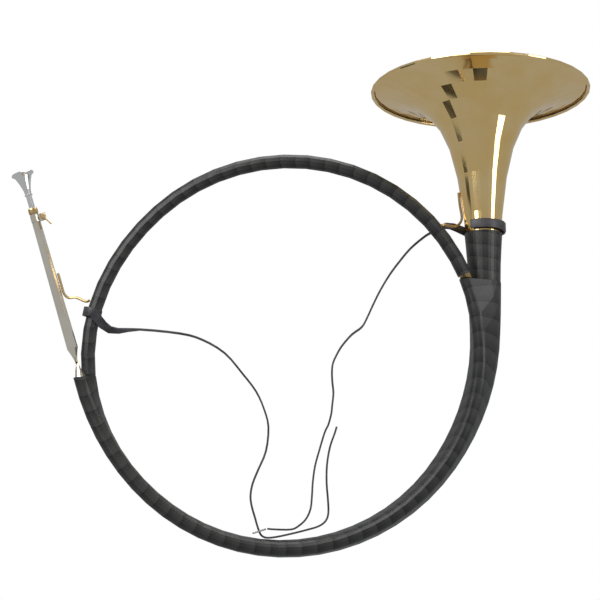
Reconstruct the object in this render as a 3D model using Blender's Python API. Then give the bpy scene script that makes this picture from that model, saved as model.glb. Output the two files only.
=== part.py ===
# Hunting horn of one and a half turns, leather bound, with a buckled carrying strap.
# The ring lies in the XZ plane, +Z is up and the bell's mouth opens upwards.
# Y runs away from the viewer: the mouthpipe's layer lies in front, the bell's layer behind.
# The origin is where the ring's inner side rests on the peg that the horn hangs from.
# Blender 4.5, metres.

import math

import bmesh
import bpy
from mathutils import Matrix, Vector

# Walls, clearances
tube_wall = 0.0006
leather = 0.0010
gap = 0.0003
wrap_clearance = 0.0006
facets = 12

# Ring: its axis is a slightly out-of-round circle, bulged where the mouthpipe comes in
ring_radius = 0.2159
ring_oval = 0.0012
ring_bulge = 0.0051
bulge_angle = 184.0
bulge_reach = 54.0
coil_radius = 0.0066
layer_start = 20.0
layer_end = 165.0
hang_angle = 76.0

# Bell and bell branch
bell_radius = 0.1255
bell_length = 0.208
flare_offset = 0.0196
flare_power = 0.807
bell_wall = 0.0005
bead_radius = 0.0019
rim_wire_radius = 0.00105
bell_sides = 36
branch_leave_angle = 326.0
bell_x = 0.2230
bend_length = 0.075
bell_lean = 8.0

# Where tubes meet each other and where the leather ends
joint_angle = 205.0
pipe_joint_angle = 232.0
wrap_top_angle = 186.7
crotch_height = 0.080
crotch_clearance = 0.0023
bell_wrap_edge = 0.111
sleeve_length = 0.020
sleeve_wall = 0.0005

# Mouthpipe
pipe_top = (-0.2787, 0.1464)
pipe_tilt = 16.6
pipe_straight = 0.196
pipe_top_radius = 0.0049
neck_length = 0.0165
neck_radius = 0.0041
socket_radius = 0.0036
socket_depth = 0.026

# Mouthpiece, measured from its rim along its axis
mouthpiece_length = 0.062
mouthpiece_seat = 0.020
rim_radius = 0.0127
cup_radius = 0.0083
cup_depth = 0.026
throat_radius = 0.0019
shank_radius = 0.0033
collar_radius = 0.0045
collar_place = 0.0255

# Clamp at the top of the mouthpipe
collar_ring_height = 0.0070
band_height = 0.0080
band_wall = 0.0008
ear_reach = 0.0120
ear_thickness = 0.0015
ear_gap = 0.0020
screw_reach = 0.0094
screw_radius = 0.0013
hub_radius = 0.0033
hub_length = 0.0042
wing_length = 0.0130
wing_thickness = 0.0018
wing_angle = -43.0

# Braces
brace_radius = 0.0015

# Carrying strap and its buckle
strap_width = 0.0105
strap_thickness = 0.0021
strap_clearance = 0.0024
left_strap_angle = 168.0
right_strap_height = 0.118
right_strap_depth = 0.004
buckle_depth = -0.004
buckle_wire = 0.0010
buckle_half_length = 0.0070
buckle_half_width = 0.0078
buckle_angle = 17.5
buckle_place = (-0.0290, -0.1965)

# Strap routes in the ring's plane, in millimetres from the ring's centre, chosen by hand
left_route = [
    (-196.3, 26.8), (-162.6, 27.1), (-117.8, 22.6), (-93.3, 15.7), (-68, 0.7), (-48, -22.3),
    (-32.9, -42.1), (-24, -61.7), (-19.1, -81.6), (-21.8, -108.2), (-30.5, -129.2), (-36.6, -144.6),
    (-38.8, -157.8), (-37.5, -168.8), (-33.7, -182), (-31.4, -190), (-27.6, -200), (-21.5, -203.6),
    (-10.8, -202.9), (6, -199.4), (23.7, -195), (36.5, -191.1), (44.3, -185.3), (47.3, -176.5),
    (46.9, -162.2), (45.4, -143), (45.9, -123.2), (49.2, -103.8), (54.6, -88.3), (56.7, -81.3),
]
right_route = [
    (182.0, 145.0), (163.6, 137.1), (155.1, 131.9), (140.3, 119.3), (127.9, 104.6), (117, 90),
    (105.9, 71.6), (97.5, 54.7), (91.3, 41.2), (85.1, 30.3), (73.9, 21.9), (62.8, 9.1),
    (56.8, -1.1), (52.7, -10.5), (51.6, -20.5), (52.1, -32.3), (53.2, -43.9), (51.7, -58.3),
    (50.7, -67.2), (47.4, -79.1), (43.5, -87.2), (37.6, -106.6), (32.6, -124.8), (30.1, -143),
    (29.2, -157.8), (27.6, -172.1), (22.6, -183.1), (14.9, -190.4), (6.4, -194.6), (-10.5, -194.6),
    (-20.2, -193.9),
]


# Helpers for lines in space

def rad(degrees):
    return math.radians(degrees)


def smooth_line(points, pieces):
    """Points of a smooth curve through the given ones, with an even count between each two."""
    pts = [Vector(p) for p in points]
    out = []
    for i in range(len(pts) - 1):
        before = pts[max(i - 1, 0)]
        a, b = pts[i], pts[i + 1]
        after = pts[min(i + 2, len(pts) - 1)]
        for k in range(pieces):
            t = k / pieces
            h = (b - before) * 0.5 * (t - 2 * t * t + t ** 3)
            g = (after - a) * 0.5 * (t ** 3 - t * t)
            out.append(a * (1 - 3 * t * t + 2 * t ** 3) + b * (3 * t * t - 2 * t ** 3) + h + g)
    out.append(pts[-1])
    return out


def tangent(points, i):
    a = points[max(i - 1, 0)]
    b = points[min(i + 1, len(points) - 1)]
    return (b - a).normalized()


def ease(t):
    t = min(max(t, 0.0), 1.0)
    return t * t * (3 - 2 * t)


# The ring's own geometry

def ring_axis_radius(angle):
    """Distance of the tube's axis from the ring's centre at an angle in degrees."""
    off = (angle - bulge_angle + 180.0) % 360.0 - 180.0
    bulge = 0.0
    if abs(off) < bulge_reach:
        bulge = ring_bulge * math.cos(math.pi * off / (2 * bulge_reach)) ** 2
    return ring_radius + ring_oval * math.sin(2 * rad(angle)) + bulge


wrapped_coil = coil_radius + gap + leather


def layer_depth(angle):
    """Depth of the coil in front of the bell's layer once it has left the bell branch."""
    share = 1.0 - ease((angle - layer_start) / (layer_end - layer_start))
    return -crotch_depth * share


def ring_place(angle, outward=0.0, depth=0.0):
    r = ring_axis_radius(angle) + outward
    return at(r * math.cos(rad(angle)), depth, r * math.sin(rad(angle)))


def at(x, y, z):
    """A place measured from the ring's centre, in the part's frame."""
    return Vector((x, y, z)) + centre


def frame_of(direction, outward):
    """Right-handed axes of a section: outward in the ring's plane, back, along."""
    t = direction.normalized()
    n = (outward - t * outward.dot(t)).normalized()
    return t, n, t.cross(n)


def branch_radius(share):
    """Bare radius of the bell branch, from its thin end at 0 to the bell at 1."""
    thick = bell_outer_radius(bell_length)
    return coil_radius + (thick - coil_radius) * share * share


def bell_inner_radius(distance):
    """Inside radius of the bell at a distance below its rim."""
    mouth = bell_radius - bead_radius * (1 + math.tan(rad(22.5)))
    return mouth * (flare_offset / (flare_offset + distance)) ** flare_power


def bell_outer_radius(distance):
    step = 0.0001
    slope = (bell_inner_radius(distance) - bell_inner_radius(distance + step)) / step
    return bell_inner_radius(distance) + bell_wall / math.cos(math.atan(slope))


# The part's frame: the ring's centre, set so that the peg's place is the origin
crotch_depth = coil_radius + 0.0148 + gap
centre = Vector((0.0, 0.0, 0.0))
centre = -ring_place(hang_angle, -wrapped_coil, layer_depth(hang_angle))


# The bell layer's line: ring, widening arc, bend away from the ring's plane, straight bell

def bell_layer_line():
    """Stations from the top of the joined leather to the bell's rim."""
    stations = []
    turn = branch_leave_angle - wrap_top_angle
    count = 24
    for i in range(count + 1):
        angle = wrap_top_angle + turn * i / count
        p = ring_place(angle)
        ahead = ring_place(angle + 0.5) - ring_place(angle - 0.5)
        stations.append((p, ahead.normalized(), Vector((math.cos(rad(angle)), 0, math.sin(rad(angle))))))
    leave, along, _ = stations[-1]
    left = Vector((-along.z, 0, along.x))
    swing = math.acos(along.z)
    reach = at(bell_x, 0, 0).x - leave.x
    arc = reach / (math.sin(swing) * along.x + (1 - math.cos(swing)) * left.x)
    count = 8
    for i in range(1, count + 1):
        a = swing * i / count
        p = leave + along * (arc * math.sin(a)) + left * (arc * (1 - math.cos(a)))
        d = along * math.cos(a) + left * math.sin(a)
        stations.append((p, d, Vector((d.z, 0, -d.x))))
    return stations


arc_line = bell_layer_line()
foot = arc_line[-1][0]


def upright_station(length):
    """A station on the upright stretch, at a length above its foot."""
    bend = min(length, bend_length)
    turn = rad(bell_lean) * bend / bend_length
    curve = bend_length / rad(bell_lean)
    d = Vector((0, math.sin(turn), math.cos(turn)))
    p = foot + Vector((0, curve * (1 - math.cos(turn)), curve * math.sin(turn))) + d * (length - bend)
    return p, d, Vector((1, 0, 0))


rim_length = bend_length + bell_length
crotch_length = crotch_height + centre.z - foot.z
joined_line = arc_line + [upright_station(crotch_length * k / 3) for k in (1, 2, 3)]
rim_centre, bell_axis, _ = upright_station(rim_length)


def line_lengths(stations):
    total = [0.0]
    for a, b in zip(stations, stations[1:]):
        total.append(total[-1] + (b[0] - a[0]).length)
    return total


joint_index = min(range(len(arc_line)), key=lambda i: (arc_line[i][0] - ring_place(joint_angle)).length)
pipe_joint_index = min(range(len(arc_line)), key=lambda i: (arc_line[i][0] - ring_place(pipe_joint_angle)).length)
joined_lengths = line_lengths(joined_line)
branch_start = joined_lengths[joint_index]
branch_end = joined_lengths[len(arc_line) - 1] + bend_length


def bell_layer_radius(length):
    """Bare radius of the bell layer's tube at a length from the leather's top end."""
    return branch_radius(max(0.0, (length - branch_start) / (branch_end - branch_start)))


# The mouthpipe's line: straight, then eased into the front layer of the ring
pipe_direction = Vector((math.sin(rad(pipe_tilt)), 0, -math.cos(rad(pipe_tilt))))


def pipe_line():
    start = at(pipe_top[0], -2 * coil_radius - gap, pipe_top[1])
    straight_end = start + pipe_direction * pipe_straight
    finish, along, _ = front_station(pipe_joint_index)
    handle = (finish - straight_end).length / 3
    out = [start, start + pipe_direction * (pipe_straight * 0.5)]
    bend = []
    for k in range(25):
        t = k / 24
        bend.append(
            straight_end * (1 - t) ** 3
            + (straight_end + pipe_direction * handle) * (3 * t * (1 - t) ** 2)
            + (finish - along * handle) * (3 * t * t * (1 - t))
            + finish * t ** 3
        )
    return out + bend


def front_station(index):
    """The front layer's station that lies before a station of the bell's layer."""
    p, d, n = joined_line[index]
    spread = coil_radius + bell_layer_radius(joined_lengths[index]) + gap
    depth = spread
    inward = 0.0
    if index >= pipe_joint_index:
        ring_line_x = front_offset(p, n)
        inward = ring_line_x
        depth = math.sqrt(max(spread ** 2 - inward ** 2, (crotch_depth * 0.86) ** 2))
    back = d.cross(n)
    return p + n * inward - back * depth, d, n


def front_offset(p, n):
    """How far inside the bell branch the round ring runs, along the station's normal."""
    lo, hi = -0.05, 0.02
    for _ in range(40):
        mid = (lo + hi) / 2
        q = p + n * mid - centre
        angle = math.degrees(math.atan2(q.z, q.x)) % 360.0
        if math.hypot(q.x, q.z) > ring_axis_radius(angle):
            hi = mid
        else:
            lo = mid
    return (lo + hi) / 2


def cut_line(points, place, direction):
    """Where a line of points crosses the plane through a place."""
    for a, b in zip(points, points[1:]):
        da = (a - place).dot(direction)
        db = (b - place).dot(direction)
        if da <= 0 < db:
            return a.lerp(b, da / (da - db))
    return points[-1]


# Meshes

def material(name, colour, roughness, metallic):
    m = bpy.data.materials.new(name)
    m.use_nodes = True
    shader = m.node_tree.nodes["Principled BSDF"]
    shader.inputs["Base Color"].default_value = (*colour, 1)
    shader.inputs["Roughness"].default_value = roughness
    shader.inputs["Metallic"].default_value = metallic
    m.diffuse_color = (*colour, 1)
    return m


def finish(bm, name, mat, angle=40.0):
    bmesh.ops.recalc_face_normals(bm, faces=bm.faces)
    mesh = bpy.data.meshes.new(name)
    bm.to_mesh(mesh)
    bm.free()
    mesh.shade_smooth()
    mesh.set_sharp_from_angle(angle=rad(angle))
    obj = bpy.data.objects.new(name, mesh)
    obj.data.materials.append(mat)
    bpy.context.collection.objects.link(obj)
    return obj


def skin(bm, rings, closed):
    """Joins rings of points into one closed surface: capped, or closed into a loop."""
    made = [[bm.verts.new(p) for p in ring] for ring in rings]
    pairs = list(zip(made, made[1:]))
    if closed:
        pairs.append((made[-1], made[0]))
    for a, b in pairs:
        for i in range(len(a)):
            j = (i + 1) % len(a)
            bm.faces.new((a[i], a[j], b[j], b[i]))
    if not closed:
        bm.faces.new(made[0])
        bm.faces.new(made[-1])


def circle(station, radius, sides=None):
    p, d, n = station
    t, n, b = frame_of(d, n)
    count = sides or facets
    return [
        p + n * (radius * math.cos(2 * math.pi * k / count)) + b * (radius * math.sin(2 * math.pi * k / count))
        for k in range(count)
    ]


def hollow_tube(name, stations, radii, wall, mat):
    """A tube along stations, with its bore."""
    outside = [circle(s, r) for s, r in zip(stations, radii)]
    inside = [circle(s, r - wall) for s, r in zip(stations, radii)]
    bm = bmesh.new()
    skin(bm, outside + inside[::-1], closed=True)
    return finish(bm, name, mat)


def turned(name, profile, mat, place, axis, sides=20, closed=True):
    """Spins a profile of (radius, height) points round an axis through a place."""
    bm = bmesh.new()
    verts = [bm.verts.new((r, 0, z)) for r, z in profile]
    edges = [bm.edges.new(pair) for pair in zip(verts, verts[1:])]
    if closed:
        edges.append(bm.edges.new((verts[-1], verts[0])))
    bmesh.ops.spin(
        bm, geom=verts + edges, cent=(0, 0, 0), axis=(0, 0, 1), angle=2 * math.pi, steps=sides, use_merge=True
    )
    bmesh.ops.remove_doubles(bm, verts=bm.verts, dist=1e-7)
    turn = axis.to_track_quat("Z", "Y").to_matrix().to_4x4()
    bmesh.ops.transform(bm, matrix=turn, verts=bm.verts)
    obj = finish(bm, name, mat)
    obj.location = place
    return obj


def wire(name, points, radius, mat, cyclic=False, resolution=2):
    """A bent wire: a curve with a round bevel."""
    curve = bpy.data.curves.new(name, "CURVE")
    curve.dimensions = "3D"
    curve.bevel_depth = radius
    curve.bevel_resolution = resolution
    curve.use_fill_caps = True
    spline = curve.splines.new("POLY")
    spline.points.add(len(points) - 1)
    for slot, p in zip(spline.points, points):
        slot.co = (*p, 1)
    spline.use_cyclic_u = cyclic
    spline.use_smooth = True
    curve.materials.append(mat)
    obj = bpy.data.objects.new(name, curve)
    bpy.context.collection.objects.link(obj)
    return obj


def ribbon(name, points, sides, width, thickness, mat):
    """A flat strap along points; sides holds each point's direction across the strap."""
    rings = []
    for i, p in enumerate(points):
        t = tangent(points, i)
        across = (sides[i] - t * sides[i].dot(t)).normalized()
        through = t.cross(across)
        w, h = across * (width / 2), through * (thickness / 2)
        rings.append([p + w + h, p - w + h, p - w - h, p + w - h])
    bm = bmesh.new()
    skin(bm, rings, closed=False)
    return finish(bm, name, mat, 30.0)


def round_cutter(name, place, axis, radius, length):
    bm = bmesh.new()
    bmesh.ops.create_cone(bm, cap_ends=True, segments=12, radius1=radius, radius2=radius, depth=length)
    turn = axis.to_track_quat("Z", "Y").to_matrix().to_4x4()
    bmesh.ops.transform(bm, matrix=Matrix.Translation(place) @ turn, verts=bm.verts)
    mesh = bpy.data.meshes.new(name)
    bm.to_mesh(mesh)
    bm.free()
    cutter = bpy.data.objects.new(name, mesh)
    cutter.hide_render = True
    cutter.display_type = "WIRE"
    bpy.context.collection.objects.link(cutter)
    return cutter


def cut(obj, cutter):
    mod = obj.modifiers.new("cut " + cutter.name, "BOOLEAN")
    mod.operation = "DIFFERENCE"
    mod.solver = "EXACT"
    mod.object = cutter


# Tubes

def mouthpipe(mat):
    """The conical pipe with its slim top that holds the mouthpiece."""
    line = pipe_line()
    start, d = line[0], pipe_direction
    across = Vector((d.z, 0, -d.x)) * -1
    total = pipe_straight
    stations = [(start + d * (total * k / 4), d, across) for k in range(4)]
    last = pipe_joint_index
    for i in range(last + 1):
        p, along, n = joined_line[i]
        stations.append((cut_line(line, p, along), along, n))
    stations[-1] = shift_back(stations[-1], gap / 2)
    outside, inside = [], []
    shoulder = start - d * neck_length
    outside.append(circle((shoulder, d, across), neck_radius))
    outside.append(circle((start, d, across), neck_radius))
    inside.append(circle((shoulder, d, across), socket_radius))
    inside.append(circle((start + d * (socket_depth - neck_length), d, across), socket_radius))
    reach = [0.0]
    for a, b in zip(stations, stations[1:]):
        reach.append(reach[-1] + (b[0] - a[0]).length)
    for s, length in zip(stations, reach):
        r = pipe_top_radius + (coil_radius - pipe_top_radius) * min(1.0, length / (pipe_straight * 1.05))
        outside.append(circle(s, r))
        if length > socket_depth - neck_length:
            inside.append(circle(s, r - tube_wall))
    bm = bmesh.new()
    skin(bm, outside + inside[::-1], closed=True)
    return finish(bm, "mouthpipe", mat)


def shift_back(station, distance):
    p, d, n = station
    return p - d * distance, d, n


def top_arc_stations():
    """The coil's own stations, from where it leaves the bell branch to the left side."""
    q = front_station(len(joined_line) - 1)[0] - centre
    first = math.degrees(math.atan2(q.z, q.x))
    count = 24
    out = []
    for i in range(count + 1):
        angle = first + (wrap_top_angle - first) * i / count
        p = ring_place(angle, 0, layer_depth(angle))
        ahead = ring_place(angle + 0.5, 0, layer_depth(angle + 0.5)) - ring_place(angle - 0.5, 0, layer_depth(angle - 0.5))
        out.append((p, ahead.normalized(), Vector((math.cos(rad(angle)), 0, math.sin(rad(angle))))))
    tilt = math.acos(out[0][1].z)
    out[0] = shift_back(out[0], -(crotch_clearance + wrapped_coil * math.sin(tilt) * 1.1))
    return out


def coil_stations():
    """From the mouthpipe's end, along the front layer, over the top, into the back layer."""
    front = [front_station(i) for i in range(pipe_joint_index, len(joined_line))]
    front[0] = shift_back(front[0], -gap / 2)
    over = top_arc_stations()
    back = joined_line[1:joint_index + 1]
    back[-1] = shift_back(back[-1], gap / 2)
    return front + over + back


def coil_tube(mat):
    stations = coil_stations()
    return hollow_tube("coil_tube", stations, [coil_radius] * len(stations), tube_wall, mat)


def bell_branch(mat):
    """The widening tube between the coil and the bell."""
    stations = list(joined_line[joint_index:len(arc_line)])
    stations[0] = shift_back(stations[0], -gap / 2)
    lengths = joined_lengths[joint_index:len(arc_line)]
    for k in (1, 2, 3, 4, 5):
        length = bend_length * k / 5 - (gap / 2 if k == 5 else 0)
        stations.append(upright_station(length))
        lengths.append(joined_lengths[len(arc_line) - 1] + length)
    radii = [bell_layer_radius(length) for length in lengths]
    return hollow_tube("bell_branch", stations, radii, tube_wall, mat)


def bell(mat):
    """The flare, its edge rolled back round the rim wire."""
    steps = [0.0, 0.003, 0.008, 0.016, 0.028, 0.045, 0.070, 0.105, 0.150, bell_length - gap / 2]
    inner = [(bell_inner_radius(x), -x) for x in steps]
    outer = [(bell_outer_radius(x), -x) for x in steps[1:]]
    bead_r, bead_z = bell_radius - bead_radius, -bead_radius
    corners = [67.5, 22.5, -22.5, -67.5, -112.5, -157.5]
    big = bead_radius / math.cos(rad(22.5))
    small = (bead_radius - bell_wall) / math.cos(rad(22.5))
    start = (bead_r + small * math.cos(rad(112.5)), bead_z + small * math.sin(rad(112.5)))
    curl_in = [(bead_r + small * math.cos(rad(a)), bead_z + small * math.sin(rad(a))) for a in corners]
    curl_out = [(bead_r + big * math.cos(rad(a)), bead_z + big * math.sin(rad(a))) for a in corners]
    profile = inner + outer[::-1] + [start] + curl_in + curl_out[::-1]
    return turned("bell", profile, mat, rim_centre, bell_axis, bell_sides)


def rim_wire(mat):
    """The wire inside the rolled edge."""
    place = bell_radius - bead_radius
    profile = [
        (place + rim_wire_radius * math.cos(rad(a)), -bead_radius + rim_wire_radius * math.sin(rad(a)))
        for a in range(0, 360, 60)
    ]
    return turned("bell_rim_wire", profile, mat, rim_centre, bell_axis, bell_sides)


def joint_sleeve(name, before, station, after, bore, mat):
    """A short tube inside the butted ends of two tubes, bent as they are."""
    p, d, n = station
    back = (before - p).normalized()
    ahead = (after - p).normalized()
    half = sleeve_length / 2
    stations = [(p + back * half, -back, n), station, (p + ahead * half, ahead, n)]
    return hollow_tube(name, stations, [bore - gap] * 3, sleeve_wall, mat)


def joint_sleeves(mat):
    """Sleeves in the three joints of the air way."""
    bore = coil_radius - tube_wall
    before, along, _ = joined_line[pipe_joint_index - 1]
    pipe_before = cut_line(pipe_line(), before, along)
    pipe_after = front_station(pipe_joint_index + 1)[0]
    pipe_joint = front_station(pipe_joint_index)
    joint_sleeve("mouthpipe_joint_sleeve", pipe_before, pipe_joint, pipe_after, bore, mat)
    around = joined_line[joint_index - 1:joint_index + 2]
    joint_sleeve("coil_joint_sleeve", around[0][0], around[1], around[2][0], bore, mat)
    bell_bore = bell_inner_radius(bell_length) - tube_wall
    below = upright_station(bend_length * 4 / 5)[0]
    above = upright_station(bend_length + sleeve_length)[0]
    joint_sleeve("bell_joint_sleeve", below, upright_station(bend_length), above, bell_bore, mat)


# Leather binding

def wrap_section(front, back, front_radius, back_radius):
    """Outline of leather stretched round two round tubes that lie side by side."""
    p, d, n = back
    t, n, b = frame_of(d, n)
    span = front[0] - p
    distance = math.hypot(span.dot(n), span.dot(b))
    heading = math.atan2(span.dot(b), span.dot(n))
    lean = math.acos((back_radius - front_radius) / distance)
    out = []
    for centre_point, radius, first, last, count in (
        (p + n * span.dot(n) + b * span.dot(b), front_radius, heading - lean, heading + lean, 8),
        (p, back_radius, heading + lean, heading - lean + 2 * math.pi, 10),
    ):
        half_step = (last - first) / (count - 1) / 2
        r = radius / math.cos(half_step)
        for k in range(count):
            a = first + (last - first) * k / (count - 1)
            out.append(centre_point + n * (r * math.cos(a)) + b * (r * math.sin(a)))
    return out


def joined_wrap(mat):
    """One skin of leather round both layers, from the mouthpipe round to the crotch."""
    outside, inside = [], []
    line = pipe_line()
    for i, back in enumerate(joined_line):
        if i < pipe_joint_index:
            front = (cut_line(line, back[0], back[1]), back[1], back[2])
        else:
            front = front_station(i)
        back_radius = bell_layer_radius(joined_lengths[i])
        inside.append(wrap_section(front, back, coil_radius + wrap_clearance, back_radius + wrap_clearance))
        more = wrap_clearance + leather
        outside.append(wrap_section(front, back, coil_radius + more, back_radius + more))
    bm = bmesh.new()
    skin(bm, outside + inside[::-1], closed=True)
    return finish(bm, "joined_wrap", mat)


def sleeve_of_leather(name, stations, radii, mat, sides=facets):
    clear = gap / math.cos(math.pi / sides)
    outside = [circle(s, r + clear + leather, sides) for s, r in zip(stations, radii)]
    inside = [circle(s, r + clear, sides) for s, r in zip(stations, radii)]
    bm = bmesh.new()
    skin(bm, outside + inside[::-1], closed=True)
    return finish(bm, name, mat)


def top_arc_wrap(mat):
    """Leather on the single tube over the top of the ring."""
    stations = top_arc_stations()
    stations[-1] = shift_back(stations[-1], gap)
    return sleeve_of_leather("top_arc_wrap", stations, [coil_radius] * len(stations), mat)


def bell_tube_wrap(mat):
    """Leather on the bell branch above the crotch, over its joint with the bell."""
    first = crotch_length + gap
    lengths = [first, (first + bend_length) / 2, bend_length, bend_length + 0.018, bell_wrap_edge]
    base = joined_lengths[len(arc_line) - 1]
    radii = []
    for length in lengths:
        if length < bend_length:
            radii.append(bell_layer_radius(base + length))
        else:
            radii.append(bell_outer_radius(rim_length - length))
    return sleeve_of_leather("bell_tube_wrap", [upright_station(x) for x in lengths], radii, mat, bell_sides)


# Mouthpiece and its clamp

def pipe_axis_place(distance):
    """A place on the mouthpipe's straight axis, a distance above the pipe's shoulder."""
    return at(pipe_top[0], -2 * coil_radius - gap, pipe_top[1]) - pipe_direction * distance


def mouthpiece(mat):
    """Funnel mouthpiece: rim, cup and shank, with its bore."""
    seat = neck_length - mouthpiece_seat
    rim = seat + mouthpiece_length
    place = pipe_axis_place(rim)
    outside = [
        (rim_radius - 0.0012, 0.0),
        (rim_radius, -0.0012),
        (rim_radius - 0.0003, -0.0028),
        (rim_radius - 0.0030, -0.0046),
        (rim_radius * 0.60, -0.0095),
        (rim_radius * 0.46, -0.0145),
        (rim_radius * 0.34, -0.0200),
        (shank_radius + 0.0003, -collar_place),
        (collar_radius, -collar_place - 0.0004),
        (collar_radius, -collar_place - 0.0016),
        (shank_radius, -collar_place - 0.0020),
        (shank_radius, -mouthpiece_length),
    ]
    inside = [
        (shank_radius - 0.0006, -mouthpiece_length),
        (throat_radius, -cup_depth - 0.003),
        (throat_radius, -cup_depth),
        (cup_radius * 0.42, -cup_depth * 0.62),
        (cup_radius * 0.72, -cup_depth * 0.28),
        (cup_radius, -0.0020),
        (cup_radius + 0.0012, 0.0),
    ]
    return turned("mouthpiece", outside + inside, mat, place, -pipe_direction, 20)


def receiver_ring(mat):
    """The brass bead round the top of the mouthpipe."""
    inner = neck_radius + gap
    high = collar_ring_height
    profile = [
        (inner, 0),
        (inner + 0.0005, 0),
        (inner + 0.0010, high * 0.25),
        (inner + 0.0010, high * 0.75),
        (inner + 0.0005, high),
        (inner, high),
    ]
    place = pipe_axis_place(neck_length - high)
    return turned("receiver_ring", profile, mat, place, -pipe_direction, facets)


def clamp_axes():
    up = -pipe_direction
    right = Vector((-up.z, 0, up.x)) * -1
    return right, up


def clamp_band(mat):
    """A split band round the slotted neck, with two ears that the wing screw draws together."""
    right, up = clamp_axes()
    base = pipe_axis_place(gap)
    inner = neck_radius + gap
    outer = inner + band_wall
    half_slot = ear_gap / 2
    opening = math.asin(half_slot / inner)
    count = 14
    outline = [(ear_reach, half_slot)]
    for k in range(count + 1):
        a = opening + (2 * math.pi - 2 * opening) * k / count
        outline.append((inner * math.cos(a), inner * math.sin(a)))
    outline.append((ear_reach, -half_slot))
    root = half_slot + ear_thickness
    outline.append((ear_reach, -root))
    reach = math.asin(root / outer)
    for k in range(count + 1):
        a = -reach - (2 * math.pi - 2 * reach) * k / count
        outline.append((outer * math.cos(a), outer * math.sin(a)))
    outline.append((ear_reach, root))
    bm = bmesh.new()
    back = Vector((0, 1, 0))
    verts = [bm.verts.new(base + right * x + back * y) for x, y in outline]
    face = bm.faces.new(verts)
    lifted = bmesh.ops.extrude_face_region(bm, geom=[face])["geom"]
    bmesh.ops.translate(bm, verts=[v for v in lifted if isinstance(v, bmesh.types.BMVert)], vec=up * band_height)
    obj = finish(bm, "clamp_band", mat)
    middle = base + right * screw_reach + up * (band_height / 2)
    cut(obj, round_cutter("clamp_band_hole", middle, back, screw_radius + gap, 0.02))
    return obj


def clamp_screw(mat):
    """The wing screw through the band's ears: post, hub and a flat wing."""
    right, up = clamp_axes()
    middle = pipe_axis_place(gap) + right * screw_reach + up * (band_height / 2)
    front = -(ear_gap / 2 + ear_thickness + gap)
    tail = ear_gap / 2 + ear_thickness + 0.0010
    profile = [
        (0, tail),
        (screw_radius, tail),
        (screw_radius, front),
        (hub_radius * 0.8, front),
        (hub_radius, front - 0.0006),
        (hub_radius, front - hub_length + 0.0006),
        (hub_radius * 0.8, front - hub_length),
        (0, front - hub_length),
    ]
    screw = turned("clamp_screw", profile, mat, middle, Vector((0, 1, 0)), facets, closed=False)
    bm = bmesh.new()
    bmesh.ops.create_cube(bm, size=1)
    inner = hub_radius * 0.5
    length = wing_length - inner
    sizes = (length, hub_length * 0.8, wing_thickness)
    bmesh.ops.scale(bm, vec=sizes, verts=bm.verts)
    bmesh.ops.translate(bm, vec=(inner + length / 2, front - hub_length / 2, 0), verts=bm.verts)
    bmesh.ops.bevel(bm, geom=bm.edges[:], offset=0.0004, segments=1, affect="EDGES")
    turn = Matrix.Rotation(-rad(wing_angle), 4, "Y")
    bmesh.ops.transform(bm, matrix=Matrix.Translation(middle) @ turn, verts=bm.verts)
    wing = finish(bm, "clamp_screw_wing", mat)
    wing.hide_render = True
    wing.display_type = "WIRE"
    join = screw.modifiers.new("wing", "BOOLEAN")
    join.operation = "UNION"
    join.solver = "EXACT"
    join.object = wing
    return screw


# Braces

def mouthpipe_brace(mat):
    """Wire soldered along the mouthpipe, then hooked across to the ring."""
    beside = pipe_brace_offset()
    right, _ = clamp_axes()
    top = pipe_axis_place(-0.062)
    low = pipe_axis_place(-0.086)
    end_angle = 164.6
    end_out = wrapped_coil + gap + brace_radius * 0.4
    end = ring_place(end_angle, end_out, 0)
    back = Vector((0, 1, 0))
    points = [
        top + right * beside,
        (top + low) / 2 + right * (beside + 0.0001),
        low + right * (beside + 0.0003),
        low + right * (beside + 0.0042) + pipe_direction * 0.0058 + back * 0.0020,
        low + right * (beside + 0.0110) + pipe_direction * 0.0066 + back * 0.0062,
        end + Vector((-0.0045, -0.0012, -0.0016)),
        end,
    ]
    return wire("mouthpipe_brace", smooth_line(points, 3), brace_radius, mat)


def pipe_brace_offset():
    share = 0.086 / (pipe_straight * 1.05)
    return pipe_top_radius + (coil_radius - pipe_top_radius) * share + gap + brace_radius


def bell_brace(mat):
    """Wire soldered down the bell's throat, then hooked across to the ring."""
    left = Vector((-1, 0, 0))
    high_p, high_d, _ = upright_station(0.160)
    low_p, low_d, _ = upright_station(0.131)
    radius_high = bell_outer_radius(rim_length - 0.160)
    radius_low = bell_outer_radius(rim_length - 0.131)
    beside = gap + brace_radius
    high = high_p + left * (radius_high + beside)
    low = low_p + left * (radius_low + beside + 0.0003)
    angle = 39.4
    side = Vector((math.cos(rad(angle)), 0.55, math.sin(rad(angle)))).normalized()
    end = ring_place(angle, 0, layer_depth(angle)) + side * (wrapped_coil + gap + brace_radius * 0.5)
    points = [
        high,
        (high + low) / 2 + left * 0.0004,
        low,
        low + Vector((-0.0030, -0.0035, -0.0078)),
        low + Vector((-0.0100, -0.0100, -0.0120)),
        end + side * 0.0050 + Vector((0.0008, 0, -0.0020)),
        end,
    ]
    return wire("bell_brace", smooth_line(points, 3), brace_radius, mat)


# Carrying strap: each half is looped round its tube, and both meet at the buckle

def strap_left(mat):
    """The holed half: round the ring, down through the buckle and back up as a free tail."""
    tube = ring_place(left_strap_angle, 0, layer_depth(left_strap_angle))
    out = Vector((math.cos(rad(left_strap_angle)), 0, math.sin(rad(left_strap_angle))))
    radius = wrapped_coil + strap_clearance + strap_thickness / 2
    points = []
    sides = []
    along = Vector((-out.z, 0, out.x))
    for k in range(12):
        a = rad(50 + 20 * k)
        points.append(tube - out * (radius * math.cos(a)) + Vector((0, radius * math.sin(a), 0)))
        sides.append(along)
    hang(points, sides, left_route, buckle_depth, buckle_depth)
    ribbon("strap_left", points, sides, strap_width, strap_thickness, mat)


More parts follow.
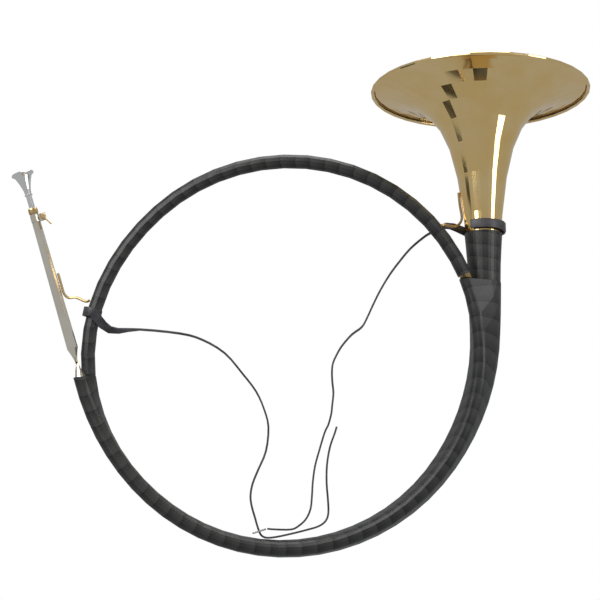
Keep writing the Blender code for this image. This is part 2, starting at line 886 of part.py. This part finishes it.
def strap_right(mat):
    """The buckle half: round the bell's throat and down to the buckle's bar."""
    tube, up, _ = upright_station(right_strap_height)
    widest = bell_outer_radius(rim_length - right_strap_height - strap_width / 2)
    radius = widest + strap_clearance + strap_thickness / 2
    right = Vector((1, 0, 0))
    back = up.cross(right)
    points = []
    sides = []
    for k in range(14):
        a = rad(-50 - 20 * k)
        points.append(tube - right * (radius * math.cos(a)) + back * (radius * math.sin(a)))
        sides.append(up)
    hang(points, sides, right_route, right_strap_depth, buckle_depth)
    ribbon("strap_right", points, sides, strap_width, strap_thickness, mat)


def hang(points, sides, route, first_depth, last_depth):
    """Carries a strap on from its loop along its route, its edge turned to the viewer."""
    places = []
    for k, (x, z) in enumerate(route):
        depth = first_depth + (last_depth - first_depth) * k / (len(route) - 1)
        places.append(at(x / 1000, depth, z / 1000))
    line = smooth_line([points[-1]] + places, 3)
    deep = Vector((0, 1, 0))
    first = sides[-1]
    for k, p in enumerate(line[1:]):
        share = min(1.0, (k + 1) / 6)
        points.append(p)
        sides.append((first * (1 - share) + deep * share).normalized())


def buckle_frame(mat):
    """The buckle's oblong wire frame; the left half passes through it."""
    middle = at(buckle_place[0], buckle_depth, buckle_place[1])
    long_way = Vector((math.cos(rad(buckle_angle)), 0, math.sin(rad(buckle_angle))))
    across = Vector((0, 1, 0))
    corner = 0.002
    points = []
    for su, si, start in ((1, 1, 0), (-1, 1, 90), (-1, -1, 180), (1, -1, 270)):
        for k in range(4):
            a = rad(start + 30 * k)
            u = su * (buckle_half_length - corner) + corner * math.cos(a)
            i = si * (buckle_half_width - corner) + corner * math.sin(a)
            points.append(middle + long_way * u + across * i)
    wire("buckle_frame", points, buckle_wire, mat, cyclic=True, resolution=1)


def build():
    for obj in list(bpy.data.objects):
        bpy.data.objects.remove(obj, do_unlink=True)
    brass = material("lacquered_brass", (0.83, 0.62, 0.27), 0.16, 1.0)
    bare_brass = material("bare_brass", (0.72, 0.53, 0.25), 0.30, 1.0)
    silver = material("silver_plate", (0.88, 0.88, 0.86), 0.14, 1.0)
    nickel = material("nickel_silver", (0.82, 0.77, 0.66), 0.16, 1.0)
    wrap = material("wrap_leather", (0.035, 0.037, 0.030), 0.55, 0.0)
    strap = material("strap_leather", (0.055, 0.050, 0.056), 0.50, 0.0)
    steel = material("plated_steel", (0.80, 0.80, 0.80), 0.20, 1.0)

    mouthpiece(silver)
    mouthpipe(nickel)
    receiver_ring(bare_brass)
    clamp_band(nickel)
    clamp_screw(bare_brass)
    coil_tube(bare_brass)
    bell_branch(bare_brass)
    bell(brass)
    rim_wire(steel)
    joint_sleeves(bare_brass)
    joined_wrap(wrap)
    top_arc_wrap(wrap)
    bell_tube_wrap(wrap)
    mouthpipe_brace(bare_brass)
    bell_brace(bare_brass)
    strap_left(strap)
    strap_right(strap)
    buckle_frame(steel)


build()
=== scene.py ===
import math

import bpy
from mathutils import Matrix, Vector


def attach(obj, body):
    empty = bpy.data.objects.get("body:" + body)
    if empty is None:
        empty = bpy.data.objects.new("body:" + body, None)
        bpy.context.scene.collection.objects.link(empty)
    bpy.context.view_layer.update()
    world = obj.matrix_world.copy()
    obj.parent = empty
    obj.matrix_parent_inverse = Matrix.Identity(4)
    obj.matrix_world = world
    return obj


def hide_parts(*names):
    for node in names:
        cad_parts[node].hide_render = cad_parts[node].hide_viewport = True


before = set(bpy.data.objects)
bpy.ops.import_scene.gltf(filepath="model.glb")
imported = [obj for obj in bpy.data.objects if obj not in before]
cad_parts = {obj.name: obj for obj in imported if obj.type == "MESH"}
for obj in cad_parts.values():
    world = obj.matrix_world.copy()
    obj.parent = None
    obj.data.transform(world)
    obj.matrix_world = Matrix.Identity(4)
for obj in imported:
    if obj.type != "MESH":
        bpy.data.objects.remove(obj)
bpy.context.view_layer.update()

# The ring's centre in the part's frame and the picture's centre beside it, in metres
ringCentre = Vector((-0.0505, 0.0145, -0.2024))
imageCentre = ringCentre + Vector((0.0160, 0, 0.0607))


def link(tree, a, b):
    tree.links.new(a, b)


# A Principled material, with its node tree and shader
def newMaterial(name, roughness, metallic):
    mat = bpy.data.materials.new(name)
    mat.use_nodes = True
    shader = mat.node_tree.nodes["Principled BSDF"]
    shader.inputs["Roughness"].default_value = roughness
    shader.inputs["Metallic"].default_value = metallic
    return mat, mat.node_tree, shader


def addNoise(tree, place, scale, detail):
    noise = tree.nodes.new("ShaderNodeTexNoise")
    noise.inputs["Scale"].default_value = scale
    noise.inputs["Detail"].default_value = detail
    link(tree, place.outputs["Object"], noise.inputs["Vector"])
    return noise


# Base colour from a height or noise: low colour at the first position, high at the second
def colourRamp(tree, shader, height, low, high, positions):
    ramp = tree.nodes.new("ShaderNodeValToRGB")
    for stop, position, colour in zip(ramp.color_ramp.elements, positions, (low, high)):
        stop.position = position
        stop.color = (*colour, 1)
    link(tree, height, ramp.inputs["Fac"])
    link(tree, ramp.outputs["Color"], shader.inputs["Base Color"])


def addBump(tree, shader, height, strength, distance):
    bump = tree.nodes.new("ShaderNodeBump")
    bump.inputs["Strength"].default_value = strength
    bump.inputs["Distance"].default_value = distance
    link(tree, height, bump.inputs["Height"])
    link(tree, bump.outputs["Normal"], shader.inputs["Normal"])


mottling = {"detail": 4.0, "positions": (0.35, 0.65)}


# Base colour that wanders between two colours over the object's own space
def mottled(tree, shader, low, high, scale):
    place = tree.nodes.new("ShaderNodeTexCoord")
    noise = addNoise(tree, place, scale, mottling["detail"])
    colourRamp(tree, shader, noise.outputs["Fac"], low, high, mottling["positions"])
    return place


metals = {
    "mottleScale": 30.0,
    "bellGold": {"low": (0.85, 0.60, 0.24), "high": (0.88, 0.66, 0.32), "roughness": 0.10},
    "oldBrass": {"low": (0.52, 0.36, 0.15), "high": (0.70, 0.52, 0.26), "roughness": 0.28},
    "paleNickel": {"low": (0.80, 0.74, 0.62), "high": (0.86, 0.82, 0.72), "roughness": 0.14},
    "silver": {"low": (0.84, 0.84, 0.82), "high": (0.92, 0.92, 0.90), "roughness": 0.12},
    "steel": {"low": (0.74, 0.74, 0.74), "high": (0.84, 0.84, 0.84), "roughness": 0.20},
}


def metal(name):
    finish = metals[name]
    mat, tree, shader = newMaterial(name, finish["roughness"], 1.0)
    mottled(tree, shader, finish["low"], finish["high"], metals["mottleScale"])
    return mat


# One math node; each input is a socket or a plain number
def mathNode(tree, operation, first, second):
    node = tree.nodes.new("ShaderNodeMath")
    node.operation = operation
    for place, value in enumerate((first, second)):
        if isinstance(value, (int, float)):
            node.inputs[place].default_value = value
        else:
            link(tree, value, node.inputs[place])
    return node.outputs["Value"]


# seam: the fraction of each turn painted near black, as painted shade under the lapping edge
ringBinding = {"turns": 79, "slant": 26.0, "seam": 0.07, "step": 0.0009}  # turns in a full circle
bellBinding = {"pitch": 0.0145, "slant": 9.0, "seam": 0.08, "step": 0.0009}  # pitch and step in metres
bindingLeather = {
    "roughness": 0.40,
    "grainScale": 700.0,
    "grainDetail": 6.0,
    "grainHeight": 0.25,
    "bump": 0.8,
    # Painted shade in the seam and painted highlight at each turn's raised edge, ramped between these
    # two colours
    "seamShadeColour": (0.002, 0.002, 0.002),
    "edgeHighlightColour": (0.022, 0.023, 0.020),
    "positions": (0.05, 0.9),
}


# Which turn of the binding a point lies on, counted round the ring or up the bell's tube
def turnCount(tree, place, settings):
    apart = tree.nodes.new("ShaderNodeSeparateXYZ")
    link(tree, place.outputs["Object"], apart.inputs["Vector"])
    x, y, z = apart.outputs
    if "turns" in settings:
        right = mathNode(tree, "SUBTRACT", x, ringCentre.x)
        high = mathNode(tree, "SUBTRACT", z, ringCentre.z)
        angle = mathNode(tree, "ARCTAN2", high, right)
        count = mathNode(tree, "MULTIPLY", angle, settings["turns"] / (2 * math.pi))
        sideways = mathNode(tree, "MULTIPLY", y, settings["slant"])
    else:
        count = mathNode(tree, "MULTIPLY", z, 1 / settings["pitch"])
        sideways = mathNode(tree, "MULTIPLY", x, settings["slant"])
    return mathNode(tree, "ADD", count, sideways)


# Leather strip wound round a tube: each turn laps the one before, with painted shade in the seam
# between and a painted highlight rising towards each turn's raised edge
def woundLeather(name, settings):
    look = bindingLeather
    mat, tree, shader = newMaterial(name, look["roughness"], 0.0)
    place = tree.nodes.new("ShaderNodeTexCoord")
    across = mathNode(tree, "FRACT", turnCount(tree, place, settings), 0.0)  # 0 to 1 over a turn
    noise = addNoise(tree, place, look["grainScale"], look["grainDetail"])
    grainHeight = mathNode(tree, "MULTIPLY", noise.outputs["Fac"], look["grainHeight"])
    height = mathNode(tree, "ADD", across, grainHeight)
    addBump(tree, shader, height, look["bump"], settings["step"])
    # Colour follows the relief: painted shade near black in the seam, painted highlight rising towards
    # each turn's raised edge
    clear = mathNode(tree, "GREATER_THAN", across, settings["seam"])
    paintedShadeAndHighlight = mathNode(tree, "MULTIPLY", clear, height)
    colourRamp(tree, shader, paintedShadeAndHighlight, look["seamShadeColour"], look["edgeHighlightColour"], look["positions"])
    return mat


# Gives CAD nodes a finish
def dress(mat, *nodeNames):
    for name in nodeNames:
        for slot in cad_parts[name].material_slots:
            slot.material = mat


def finishes():
    oldBrass = metal("oldBrass")
    dress(metal("bellGold"), "bell")
    dress(oldBrass, "receiver_ring", "clamp_screw", "mouthpipe_brace", "bell_brace", "coil_tube")
    dress(oldBrass, "bell_branch", "mouthpipe_joint_sleeve", "coil_joint_sleeve", "bell_joint_sleeve")
    dress(metal("paleNickel"), "mouthpipe", "clamp_band")
    dress(metal("silver"), "mouthpiece")
    dress(metal("steel"), "buckle_frame", "bell_rim_wire")
    dress(woundLeather("ringLeather", ringBinding), "joined_wrap", "top_arc_wrap")
    dress(woundLeather("bellTubeLeather", bellBinding), "bell_tube_wrap")


strapLook = {
    "low": (0.016, 0.014, 0.017),
    "high": (0.060, 0.055, 0.062),
    "roughness": 0.45,
    "mottleScale": 60.0,
    "grainScale": 900.0,
    "grainDetail": 6.0,
    "grainBump": 0.35,
    "grainDepth": 0.0004,
    "edge": 0.0005,
    "edgeSteps": 2,
    "edgeAngle": 40,
    "smoothAngle": 35,
    "weld": 0.00001,
}


def strapLeather():
    look = strapLook
    mat, tree, shader = newMaterial("strapLeather", look["roughness"], 0.0)
    place = mottled(tree, shader, look["low"], look["high"], look["mottleScale"])
    noise = addNoise(tree, place, look["grainScale"], look["grainDetail"])
    addBump(tree, shader, noise.outputs["Fac"], look["grainBump"], look["grainDepth"])
    return mat


# A leather strap with rounded edges, in the place of its plain CAD solid
def softStrap(name, nodeName, mat):
    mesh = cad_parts[nodeName].data.copy()
    mesh.materials.clear()
    mesh.materials.append(mat)
    piece = bpy.data.objects.new(name, mesh)
    bpy.context.collection.objects.link(piece)
    bpy.ops.object.select_all(action="DESELECT")
    piece.select_set(True)
    bpy.context.view_layer.objects.active = piece
    bpy.ops.object.mode_set(mode="EDIT")
    bpy.ops.mesh.select_all(action="SELECT")
    bpy.ops.mesh.remove_doubles(threshold=strapLook["weld"])
    bpy.ops.object.mode_set(mode="OBJECT")
    bevel = piece.modifiers.new("rounded edges", "BEVEL")
    bevel.width = strapLook["edge"]
    bevel.segments = strapLook["edgeSteps"]
    bevel.limit_method = "ANGLE"
    bevel.angle_limit = math.radians(strapLook["edgeAngle"])
    bpy.ops.object.modifier_apply(modifier=bevel.name)
    bpy.ops.object.shade_smooth_by_angle(angle=math.radians(strapLook["smoothAngle"]))
    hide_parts(nodeName)
    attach(piece, "horn")


def straps():
    mat = strapLeather()
    softStrap("leftStrap", "strap_left", mat)
    softStrap("rightStrap", "strap_right", mat)


# Light places and sizes in metres from the ring's centre, power in watts
lights = {
    "keyLight": {"place": (-1.4, -1.6, 1.4), "size": (1.6, 1.6), "power": 42},
    "fillLight": {"place": (1.8, -1.2, 0.4), "size": (0.8, 2.0), "power": 18},
    "topLight": {"place": (0.2, 0.2, 1.8), "size": (2.0, 1.2), "power": 22},
}
surroundings = {"colour": (0.75, 0.76, 0.78, 1), "strength": 0.55, "backdrop": (1, 1, 1, 1)}
photoCamera = {"lens": 120, "sensor": 36, "distance": 2.24, "tilt": math.radians(6)}


# A soft light that looks at the ring's centre
def areaLight(name):
    settings = lights[name]
    data = bpy.data.lights.new(name, "AREA")
    data.shape = "RECTANGLE"
    data.size, data.size_y = settings["size"]
    data.energy = settings["power"]
    lamp = bpy.data.objects.new(name, data)
    lamp.location = ringCentre + Vector(settings["place"])
    lamp.rotation_euler = (ringCentre - lamp.location).to_track_quat("-Z", "Y").to_euler()
    bpy.context.collection.objects.link(lamp)


# Soft grey light all round, with plain white where the camera sees past the horn
def paintWorld():
    world = bpy.data.worlds.new("studio")
    bpy.context.scene.world = world
    world.use_nodes = True
    tree = world.node_tree
    shade = tree.nodes["Background"]
    path = tree.nodes.new("ShaderNodeLightPath")
    white = tree.nodes.new("ShaderNodeBackground")
    mix = tree.nodes.new("ShaderNodeMixShader")
    shade.inputs["Color"].default_value = surroundings["colour"]
    shade.inputs["Strength"].default_value = surroundings["strength"]
    white.inputs["Color"].default_value = surroundings["backdrop"]
    white.inputs["Strength"].default_value = 1.0
    link(tree, path.outputs["Is Camera Ray"], mix.inputs["Fac"])
    link(tree, shade.outputs["Background"], mix.inputs[1])
    link(tree, white.outputs["Background"], mix.inputs[2])
    link(tree, mix.outputs["Shader"], tree.nodes["World Output"].inputs["Surface"])


# The photograph's camera: in front, a little below the horn and looking up
def placeCamera():
    data = bpy.data.cameras.new("camera")
    data.lens = photoCamera["lens"]
    data.sensor_width = photoCamera["sensor"]
    camera = bpy.data.objects.new("camera", data)
    tilt = photoCamera["tilt"]
    away = Vector((0, -math.cos(tilt), -math.sin(tilt)))
    camera.location = imageCentre + away * photoCamera["distance"]
    camera.rotation_euler = (math.pi / 2 + tilt, 0, 0)
    bpy.context.collection.objects.link(camera)
    bpy.context.scene.camera = camera


def studio():
    paintWorld()
    for name in lights:
        areaLight(name)
    placeCamera()
    bpy.context.scene.view_settings.view_transform = "Standard"


finishes()
print("finishes done")
straps()
print("straps done")
studio()
print("studio done")
